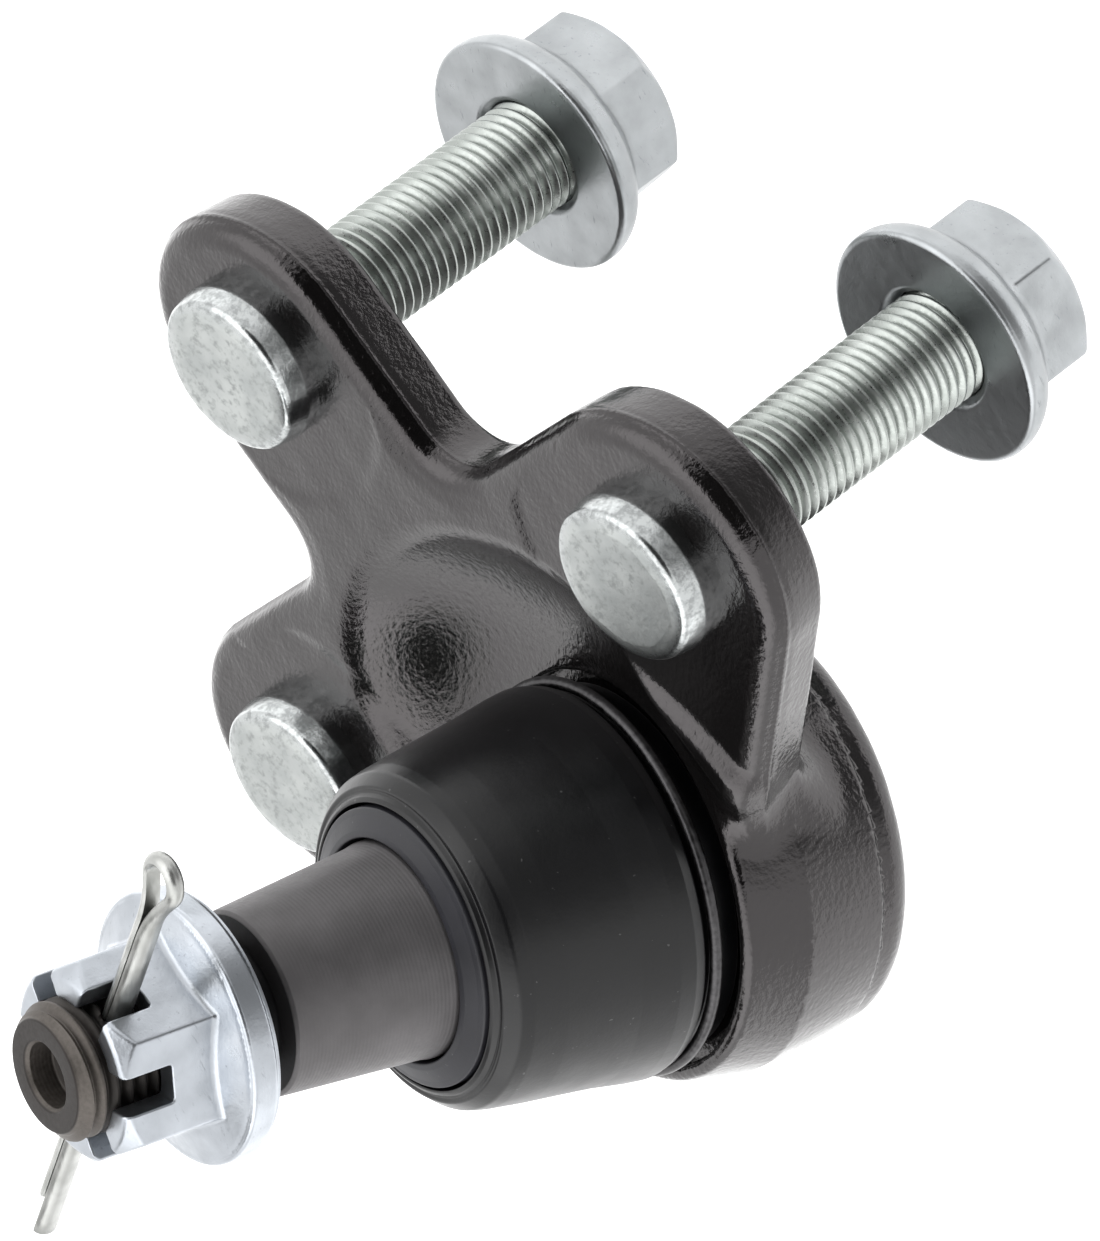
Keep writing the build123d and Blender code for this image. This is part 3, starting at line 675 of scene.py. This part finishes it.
def half_path(reach):
    """Flat side of one leg of the pin, from its tip to the top of the eye, above the split."""
    leg = [(x, PIN_GAP) for x in np.linspace(-reach, PIN_NECK, 30)]
    a = np.array([PIN_NECK, PIN_GAP])
    b = a + np.array([2.5, 0.0])
    c = touch - touch_way * 4.0
    curve = []
    for t in np.linspace(0, 1, 18)[1:]:
        u = 1 - t
        curve.append(tuple(u**3 * a + 3 * u**2 * t * b + 3 * u * t * t * c + t**3 * touch))
    eye = np.linspace(PIN_TOUCH, 0, 22)[1:]
    arc = [(loop_x + PIN_EYE_R * math.cos(w), PIN_EYE_R * math.sin(w)) for w in eye]
    return leg + curve + arc


upper, lower = half_path(PIN_SHORT_LEG), half_path(PIN_LONG_LEG)
path = np.array(upper + [(x, -y) for x, y in lower[::-1]][1:])
way = np.gradient(path, axis=0)
way /= np.linalg.norm(way, axis=1, keepdims=True)
outward = np.stack([-way[:, 1], way[:, 0]], 1)
section = [(0, -PIN_LEG_R + 0.25), (0.0, PIN_LEG_R - 0.25)]
for w in np.linspace(12, 168, 14):
    section.append((PIN_WIRE_T * math.sin(math.radians(w)), PIN_LEG_R * math.cos(math.radians(w))))


def pin_ring(i, past=0.0):
    """Section of the wire at a point of its path, or the smaller rounded end just past it."""
    spot = path[i] + way[i] * past
    middle = PIN_WIRE_T * 0.42
    thick, wide = (0.80, 0.88) if past else (1, 1)
    wide *= 1 - PIN_EYE_THINNER * float(ease((path[i][0] - PIN_NECK) / 6))
    out = []
    for n, b in section:
        n = middle + (n - middle) * thick
        out.append((spot[0] + outward[i][0] * n, spot[1] + outward[i][1] * n, b * wide))
    return np.array(out)


last = len(path) - 1
loops = [pin_ring(0, -PIN_END_R)] + [pin_ring(i) for i in range(last + 1)] + [pin_ring(last, PIN_END_R)]
around = len(section)
points = np.concatenate(loops)
faces = ring_faces(len(loops), around).tolist()
faces.append(list(range(around))[::-1])
faces.append(list(range((len(loops) - 1) * around, len(loops) * around)))
mesh = bpy.data.meshes.new("cotter_pin_mesh")
mesh.from_pydata((points * MM).tolist(), [], faces)
mesh.validate()
work = bmesh.new()
work.from_mesh(mesh)
bmesh.ops.recalc_face_normals(work, faces=work.faces)
work.to_mesh(mesh)
work.free()
mesh.shade_smooth()
mesh.transform(pin_place)
mesh.set_sharp_from_angle(angle=math.radians(40))
pin = bpy.data.objects.new("cotter_pin_mesh", mesh)
bpy.context.scene.collection.objects.link(pin)


def boot_uneven(angles, r, h):
    """Slight out-of-round of a moulded boot."""
    fade = ease((h - 3.0) / 8) * ease((27.0 - h) / 4)
    return fade * (0.10 * np.cos(2 * angles + 0.6) + 0.05 * np.cos(5 * angles + h * 0.2)), 0 * angles


# Dust boot
boot_foot = [
    (BOOT_FOOT_IN_R, BOOT_FOOT_H, 0),
    (BOOT_FOOT_OUT_R, BOOT_FOOT_H, 0.2),
    (BOOT_FOOT_OUT_R, RING_H - 0.85, 0.2),
    (BOOT_FOOT_OUT_R - 0.15, RING_H, 0.5),
    (BOOT_FOOT_OUT_R + 0.05, RING_H + 0.8, 0.2),
]
boot_wall = [
    (BOOT_R - 0.35, 4.9, 0.5),
    (BOOT_R, 6.2, 0.6),
    (BOOT_R - 0.2, 8.0, 3),
    (BOOT_R - 0.9, 12.0, 6),
    (BOOT_R - 1.45, 16.0, 6),
    (BOOT_R - 2.0, 20.0, 6),
    (BOOT_R - 2.6, 23.6, 3),
    (BOOT_R - 3.0, 25.0, 1.2),
]
boot_ledges = [
    (16.2, 26.4, 0.6),
    (15.7, 26.2, 0.3),
    (15.3, 26.75, 0.3),
    (14.75, 27.1, 0.2),
    (14.7, 25.2, 0.2),
    (14.2, 24.7, 0.3),
]
boot_inside = [
    (15.6, 23.2, 0.8),
    (17.4, 15.4, 4),
    (BOOT_FOOT_IN_R + 0.9, 8.8, 0.3),
    (BOOT_FOOT_IN_R + 0.9, 4.0, 0.2),
    (BOOT_FOOT_IN_R, 3.4, 0.2),
]
boot_rows = boot_foot + boot_wall + boot_ledges + boot_inside
boot = turned("dust_boot_rubber", boot_rows, CUP, around=200, uneven=boot_uneven)
seal = turned(
    "boot_seal_ring_face",
    [
        (SEAL_SEAT_R + 0.3, SEAL_LOW_H, 0),
        (SEAL_OUT_R, SEAL_LOW_H, 0.2),
        (SEAL_OUT_R, 27.2, 0.25),
        (SEAL_OUT_R - 0.7, 27.45, 0.5),
        (12.3, 28.1, 0.6),
        (SEAL_SEAT_R + 0.35, 28.3, 0.2),
        (SEAL_SEAT_R + 0.3, 27.6, 0.1),
    ],
    CUP,
    around=180,
)
wire = np.linspace(0, 2 * math.pi, 17)[:-1]
ring = turned(
    "boot_retaining_ring_wire",
    [(RING_R + RING_WIRE_R * math.cos(a), RING_H + RING_WIRE_R * math.sin(a), 0) for a in wire],
    CUP,
)
cap = turned(
    "end_cap_pressing",
    [
        (0, CAP_TOP_H, 0),
        (CAP_R, CAP_TOP_H, 0.1),
        (CAP_R, CAP_LOW_H + 0.02, 0.1),
        (14.3, CAP_LOW_H + 0.02, 0.4),
        (13.4, CAP_LOW_H + 0.35, 0.6),
        (10.4, CAP_LOW_H + 0.35, 0.6),
        (9.2, CAP_LOW_H + 0.75, 0.6),
        (1.2, CAP_LOW_H + 0.75, 0.5),
        (0, CAP_LOW_H + 0.6, 0),
    ],
    CUP,
    around=140,
    closed=False,
)


class Look:
    """Node material with a Principled shader; textures are placed in millimetres of the object."""

    def __init__(self, name, **sockets):
        self.material = bpy.data.materials.new(name)
        self.material.use_nodes = True
        self.tree = self.material.node_tree
        self.shader = next(n for n in self.tree.nodes if n.type == "BSDF_PRINCIPLED")
        for socket, value in sockets.items():
            self.set(socket.replace("_", " "), value)
        place = self.node("ShaderNodeTexCoord")
        scale = self.node("ShaderNodeVectorMath", operation="SCALE")
        self.join(place.outputs["Object"], scale.inputs[0])
        scale.inputs["Scale"].default_value = 1 / MM
        self.where = scale.outputs[0]

    def set(self, socket, value):
        self.shader.inputs[socket].default_value = value

    def node(self, kind, **settings):
        made = self.tree.nodes.new(kind)
        for key, value in settings.items():
            setattr(made, key, value)
        return made

    def join(self, a, b):
        self.tree.links.new(a, b)

    def noise(self, size, detail=3.0, rough=0.5, stretch=None):
        """Noise whose features are about size millimetres wide, or turned and stretched along axes."""
        made = self.node("ShaderNodeTexNoise")
        made.inputs["Scale"].default_value = 1 / size
        made.inputs["Detail"].default_value = detail
        made.inputs["Roughness"].default_value = rough
        where = self.where
        if stretch:
            turn = self.node("ShaderNodeMapping", vector_type="TEXTURE")
            turn.inputs["Rotation"].default_value = stretch[0]
            turn.inputs["Scale"].default_value = stretch[1]
            self.join(where, turn.inputs["Vector"])
            where = turn.outputs[0]
        self.join(where, made.inputs["Vector"])
        return made.outputs["Fac"]

    def ramp(self, fac, stops):
        """Colour ramp from (position, colour or grey) stops."""
        made = self.node("ShaderNodeValToRGB")
        elements = made.color_ramp.elements
        while len(elements) < len(stops):
            elements.new(0.5)
        for element, (spot, colour) in zip(elements, stops):
            element.position = spot
            if isinstance(colour, (int, float)):
                colour = (colour,) * 3
            element.color = (*colour, 1)
        self.join(fac, made.inputs[0])
        return made.outputs[0]

    def mix(self, fac, a, b):
        """Colour a where fac is 0 and b where it is 1; each may be an output, a colour or a number."""
        made = self.node("ShaderNodeMix", data_type="RGBA")
        for socket, value in ((made.inputs["Factor"], fac), (made.inputs["A"], a), (made.inputs["B"], b)):
            if not isinstance(value, (int, float, tuple)):
                self.join(value, socket)
            elif isinstance(value, tuple):
                socket.default_value = (*value, 1)
            else:
                socket.default_value = value
        return made.outputs["Result"]

    def math(self, kind, a, b=0.0, clamp=False):
        """Maths on outputs or numbers."""
        made = self.node("ShaderNodeMath", operation=kind, use_clamp=clamp)
        for socket, value in zip(made.inputs, (a, b)):
            if isinstance(value, (int, float)):
                socket.default_value = value
            else:
                self.join(value, socket)
        return made.outputs[0]

    def colour(self, source):
        self.join(source, self.shader.inputs["Base Color"])

    def roughness(self, source):
        self.join(source, self.shader.inputs["Roughness"])

    def bump(self, height, depth):
        """Bump from a height of 0 to 1 that stands for depth millimetres, on top of any bump so far."""
        made = self.node("ShaderNodeBump")
        made.inputs["Strength"].default_value = 1.0
        made.inputs["Distance"].default_value = depth * MM
        self.join(height, made.inputs["Height"])
        if self.shader.inputs["Normal"].is_linked:
            self.join(self.shader.inputs["Normal"].links[0].from_socket, made.inputs["Normal"])
        self.join(made.outputs[0], self.shader.inputs["Normal"])


def cup_height(look):
    """Height along the cup's axis, in millimetres, at each point of a material."""
    axis = look.node("ShaderNodeVectorMath", operation="DOT_PRODUCT")
    look.join(look.where, axis.inputs[0])
    axis.inputs[1].default_value = tuple(CUP_AXES[2])
    return look.math("SUBTRACT", axis.outputs["Value"], float(BALL @ CUP_AXES[2]))


def black_paint():
    """Thin black stoving paint over a forged skin: glossy, with fine pits and slow waves."""
    look = Look("black_paint", IOR=1.66, Specular_Tint=(1.0, 0.945, 0.958, 1))
    slow = look.noise(9.0, 2)
    fine = look.noise(0.62, 3, 0.55, ((0, 0, math.radians(35)), (1.25, 0.9, 1.0)))
    look.colour(look.ramp(slow, [(0.3, (0.0032, 0.0029, 0.0029)), (0.7, (0.0052, 0.0047, 0.0047))]))
    look.roughness(look.ramp(fine, [(0.3, 0.10), (0.75, 0.18)]))
    look.bump(look.noise(4.5, 2), 0.05)
    look.bump(fine, 0.075)
    return look.material


def bolt_zinc():
    """Blue zinc over a cold-forged head, mottled and dull."""
    look = Look("bolt_zinc", Metallic=1.0)
    mottle = look.noise(0.9, 5, 0.65)
    slow = look.noise(4.2, 2)
    light = look.mix(look.ramp(slow, [(0.35, 0.0), (0.65, 1.0)]), (0.51, 0.53, 0.52), (0.41, 0.43, 0.425))
    face = look.mix(look.ramp(mottle, [(0.34, 1.0), (0.50, 0.0)]), light, (0.33, 0.345, 0.34))
    rim = look.mix(look.ramp(mottle, [(0.40, 1.0), (0.56, 0.0)]), (0.52, 0.54, 0.54), (0.34, 0.355, 0.355))
    split = look.node("ShaderNodeSeparateXYZ")
    look.join(look.where, split.inputs[0])
    below = look.math("SUBTRACT", HEAD_TOP - 0.12, split.outputs["Z"])
    lower = look.math("MULTIPLY", below, 5.0, clamp=True)
    look.colour(look.mix(lower, face, rim))
    dull = look.ramp(mottle, [(0.3, 0.46), (0.7, 0.32)])
    bright = look.ramp(mottle, [(0.3, 0.26), (0.7, 0.19)])
    look.roughness(look.mix(lower, dull, bright))
    look.bump(mottle, 0.025)
    look.bump(look.noise(0.35, 3, 0.6), 0.012)
    return look.material


def nut_zinc(name="nut_zinc", tint=(0.39, 0.407, 0.418), dark=(0.25, 0.265, 0.272)):
    """Bright blue zinc of the nuts, with soft clouds, fine grain and a few scratches."""
    look = Look(name, Metallic=1.0)
    cloud = look.noise(3.5, 3)
    grain = look.noise(0.30, 3, 0.6)
    marks = look.noise(0.8, 4, 0.7, ((0.4, 0.2, 0.9), (4.0, 0.6, 0.6)))
    base = look.mix(look.ramp(cloud, [(0.35, 0.0), (0.7, 1.0)]), tint, tuple(0.84 * c for c in tint))
    look.colour(look.mix(look.ramp(marks, [(0.30, 1.0), (0.38, 0.0)]), base, dark))
    look.roughness(look.ramp(cloud, [(0.3, 0.27), (0.7, 0.36)]))
    look.bump(grain, 0.016)
    look.bump(look.noise(1.6, 3), 0.045)
    return look.material


def thread_zinc():
    """Greyer, slightly green zinc on the rolled threads."""
    look = Look("thread_zinc", Metallic=1.0)
    cloud = look.noise(5.0, 3)
    grain = look.noise(0.4, 3, 0.6)
    look.colour(look.ramp(cloud, [(0.35, (0.36, 0.385, 0.365)), (0.65, (0.44, 0.465, 0.445))]))
    look.roughness(look.ramp(grain, [(0.3, 0.24), (0.7, 0.38)]))
    look.bump(grain, 0.015)
    return look.material


def stud_steel():
    """Dark phosphated steel with fine turning lines and brown on the threaded end, with painted shade: near
    black at the relief under the slotted nut, and darker down the end hole and inside the nut.
    """
    look = Look("stud_steel", Metallic=0.6)
    height = cup_height(look)
    turning = look.math("SINE", look.math("MULTIPLY", height, 2 * math.pi / TURNING_PITCH))
    turning = look.math("ADD", look.math("MULTIPLY", turning, 0.5), 0.5)
    cloud = look.noise(4.0, 3)
    grain = look.noise(0.5, 3, 0.6)
    taper = look.ramp(cloud, [(0.3, (0.105, 0.100, 0.102)), (0.7, (0.13, 0.124, 0.127))])
    end = look.ramp(grain, [(0.3, (0.075, 0.066, 0.058)), (0.7, (0.115, 0.102, 0.092))])
    past = look.math("MULTIPLY", look.math("SUBTRACT", height, CASTLE_SEAT_H - 1), 1.0, clamp=True)
    # Painted shade: the relief between the taper and the slotted nut is drawn near black, as if shaded by the
    # nut
    neck = look.math("MULTIPLY", look.math("SUBTRACT", height, TAPER_END_H - 0.15), 4.0, clamp=True)
    colour = look.mix(neck, taper, (0.012, 0.011, 0.012))
    # Painted shade: darker down the end hole and on the thread inside the slotted nut
    inside = look.math("MULTIPLY", look.math("SUBTRACT", STUD_TIP_H - 2.6, height), 1.2, clamp=True)
    end = look.mix(inside, end, (0.022, 0.019, 0.017))
    face = look.math("MULTIPLY", look.math("SUBTRACT", height, STUD_TIP_H - 0.2), 8.0, clamp=True)
    end = look.mix(face, end, (0.030, 0.026, 0.024))
    look.colour(look.mix(past, colour, end))
    look.roughness(look.ramp(grain, [(0.3, 0.42), (0.75, 0.55)]))
    look.bump(turning, 0.008)
    look.bump(grain, 0.012)
    return look.material


def pin_zinc():
    """Zinc on the drawn wire of the cotter pin, with lines along it."""
    look = Look("pin_zinc", Metallic=1.0)
    lines = look.noise(0.35, 3, 0.6, ((0, 0, PIN_TURN), (9.0, 1.0, 1.0)))
    cloud = look.noise(3.0, 3)
    look.colour(look.ramp(cloud, [(0.35, (0.34, 0.345, 0.33)), (0.65, (0.46, 0.465, 0.45))]))
    look.roughness(look.ramp(lines, [(0.3, 0.28), (0.7, 0.42)]))
    look.bump(lines, 0.02)
    return look.material


def rubber(name="boot_rubber", base=0.002, gloss=0.28):
    """Satin black rubber with a fine skin and a few grains of dust."""
    look = Look(name, IOR=1.46)
    cloud = look.noise(6.0, 3)
    skin = look.noise(0.5, 3, 0.55)
    dust = look.noise(0.7, 2, 0.4)
    black = look.ramp(cloud, [(0.3, (base, base, base * 1.25)), (0.7, (base * 1.5, base * 1.5, base * 1.9))])
    look.colour(look.mix(look.ramp(dust, [(0.74, 0.0), (0.78, 0.5)]), black, (0.12, 0.12, 0.12)))
    look.roughness(look.ramp(cloud, [(0.3, gloss), (0.7, gloss + 0.1)]))
    look.bump(skin, 0.012)
    look.bump(look.noise(5.0, 2), 0.05)
    return look.material


def dark_ring():
    """Oiled black steel of the boot's ring."""
    look = Look("dark_ring", Metallic=1.0)
    grain = look.noise(0.6, 3)
    look.colour(look.ramp(grain, [(0.3, (0.05, 0.048, 0.05)), (0.7, (0.10, 0.098, 0.10))]))
    look.roughness(look.ramp(grain, [(0.3, 0.3), (0.7, 0.45)]))
    look.bump(grain, 0.01)
    return look.material


def seat_plastic():
    """Pale moulded bearing plastic."""
    look = Look("seat_plastic", IOR=1.5)
    cloud = look.noise(3.0, 3)
    look.colour(look.ramp(cloud, [(0.3, (0.62, 0.60, 0.54)), (0.7, (0.70, 0.68, 0.62))]))
    look.roughness(look.ramp(cloud, [(0.3, 0.42), (0.7, 0.55)]))
    look.bump(look.noise(0.4, 3), 0.01)
    return look.material


def spring_steel():
    """Blued spring steel."""
    look = Look("spring_steel", Metallic=1.0)
    cloud = look.noise(3.0, 3)
    look.colour(look.ramp(cloud, [(0.3, (0.16, 0.17, 0.20)), (0.7, (0.24, 0.24, 0.26))]))
    look.roughness(look.ramp(cloud, [(0.3, 0.32), (0.7, 0.44)]))
    look.bump(look.noise(0.5, 3), 0.01)
    return look.material


def dress(obj, material, body=None, node=None):
    """Give a piece its material and its body, and hide the solid that it stands for."""
    obj.data.materials.clear()
    obj.data.materials.append(material)
    if body:
        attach(obj, body)
    if node:
        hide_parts(node)


paint = black_paint()
head_zinc, shank_zinc = bolt_zinc(), thread_zinc()
zinc = nut_zinc()
castle_zinc = nut_zinc("castle_zinc", (0.51, 0.54, 0.58), (0.35, 0.37, 0.40))
dress(housing, paint, "housing", "housing")
dress(cap, paint, "housing", "end_cap")
for name in BOLTS:
    dress(heads[name], head_zinc, "housing", "stud_bolt_" + name)
    dress(heads[name + "_shank"], shank_zinc, "housing", None)
    dress(nuts[name], zinc, "flange_nut_" + name, "flange_nut_" + name)
dress(castle, castle_zinc, "stud", "castle_nut")
dress(stud, stud_steel(), "stud", "ball_stud")
dress(pin, pin_zinc(), "cotter_pin", "cotter_pin")
dress(seal, rubber("seal_rubber", 0.016, 0.42), "boot_seal_ring", "boot_seal_ring")
dress(ring, dark_ring(), "housing", "boot_retaining_ring")
dress(boot, rubber(), None, "dust_boot")
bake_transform(boot)
dress(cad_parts["upper_ball_seat"], seat_plastic())
dress(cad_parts["lower_ball_seat"], seat_plastic())
dress(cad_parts["preload_spring"], spring_steel())

# Floor, just under the nuts when they have run off their bolts. It ends just past the part on the
# camera's side, where the part would otherwise mirror it and not the dim wall.
FLOOR_SIDE, FLOOR_NEAR = 4.0, 0.07
floor_z = (LEFT_NUT_Z - NUT_H - NUT_RUN_OFF - 0.3) * MM
bpy.ops.mesh.primitive_plane_add(size=1, location=(FLOOR_SIDE / 2 - FLOOR_NEAR, 0, floor_z))
floor = bpy.context.object
floor.name = "floor"
floor.scale = (FLOOR_SIDE, FLOOR_SIDE, 1.0)
floor_look = Look("floor_white", Roughness=0.9, Emission_Color=(1, 1, 1, 1), Emission_Strength=0.72)
floor_look.colour(floor_look.ramp(floor_look.noise(400.0, 2), [(0.3, 0.70), (0.7, 0.72)]))
floor.data.materials.append(floor_look.material)

# Light, from a world that is brighter or darker by direction
world = bpy.data.worlds.new("studio")
bpy.context.scene.world = world
world.use_nodes = True
tree = world.node_tree
sky = next(n for n in tree.nodes if n.type == "BACKGROUND")
where = tree.nodes.new("ShaderNodeTexCoord")


def studio_math(kind, *values):
    """Maths node of the studio light, on numbers or outputs."""
    made = tree.nodes.new("ShaderNodeMath")
    made.operation = kind
    for socket, value in zip(made.inputs, values):
        if isinstance(value, (int, float)):
            socket.default_value = value
        else:
            tree.links.new(value, socket)
    return made.outputs[0]


def lobe(azimuth, height, near, far):
    """1 within near degrees of a direction, falling smoothly to 0 at far degrees from it."""
    turn, rise = math.radians(azimuth), math.radians(height)
    level = math.cos(rise)
    toward = tree.nodes.new("ShaderNodeVectorMath")
    toward.operation = "DOT_PRODUCT"
    toward.inputs[1].default_value = (level * math.cos(turn), level * math.sin(turn), math.sin(rise))
    tree.links.new(where.outputs["Generated"], toward.inputs[0])
    fall = tree.nodes.new("ShaderNodeMapRange")
    fall.interpolation_type = "SMOOTHSTEP"
    fall.inputs["From Min"].default_value = math.cos(math.radians(far))
    fall.inputs["From Max"].default_value = math.cos(math.radians(near))
    tree.links.new(toward.outputs["Value"], fall.inputs["Value"])
    return fall.outputs[0]


def shadow(azimuth, height, near, far, depth):
    """Factor that takes the share depth of the light away round a direction."""
    return studio_math("SUBTRACT", 1.0, studio_math("MULTIPLY", lobe(azimuth, height, near, far), depth))


# Two soft boxes overhead, a dark boom between them, the dark room behind the camera, a dim wall below it
BASE_LIGHT, BOX_LIGHT, SWEEP = 1.28, 1.2, 1.8
BOX_H, BOX_NEAR, BOX_FAR = 55, 18, 42
boxes = studio_math("ADD", lobe(-100, BOX_H, BOX_NEAR, BOX_FAR), lobe(75, BOX_H, BOX_NEAR, BOX_FAR))
light = studio_math("MULTIPLY_ADD", boxes, BOX_LIGHT, BASE_LIGHT)
room = shadow(-172, 36, 27, 33, 0.99)
boom = shadow(30, 48, 10.5, 14.0, 0.99)
dim_wall = shadow(178, -28, 12, 46, 0.8)
shade = studio_math("MULTIPLY", room, dim_wall)
around_part = studio_math("MULTIPLY", studio_math("MULTIPLY", light, boom), shade)
# What is seen straight past the part is the plain white sweep that it stands on, from every side
seen = tree.nodes.new("ShaderNodeLightPath").outputs["Is Camera Ray"]
lit = studio_math("MULTIPLY", around_part, studio_math("SUBTRACT", 1.0, seen))
tree.links.new(studio_math("ADD", lit, studio_math("MULTIPLY", seen, SWEEP)), sky.inputs["Strength"])
sky.inputs["Color"].default_value = (1.0, 1.0, 1.0, 1)

# Camera, fitted to the photograph; its place is in metres
CAMERA_AT = Vector((-1.04203, -0.05983, 0.60858))
CAMERA_RIGHT = Vector((-0.4363, 0.5811, -0.6870))
CAMERA_UP = Vector((-0.2590, -0.8123, -0.5226))
PHOTO_LENS = 353.72
camera_data = bpy.data.cameras.new("photo_camera")
camera_data.lens = PHOTO_LENS
camera_data.sensor_width = 36
camera_data.clip_start, camera_data.clip_end = 0.05, 20
camera = bpy.data.objects.new("photo_camera", camera_data)
bpy.context.scene.collection.objects.link(camera)
bpy.context.scene.camera = camera
turn = Matrix((CAMERA_RIGHT, CAMERA_UP, CAMERA_RIGHT.cross(CAMERA_UP))).transposed().to_4x4()
camera.matrix_world = Matrix.Translation(CAMERA_AT) @ turn

scene = bpy.context.scene
scene.view_settings.view_transform = "Standard"
scene.view_settings.look = "None"
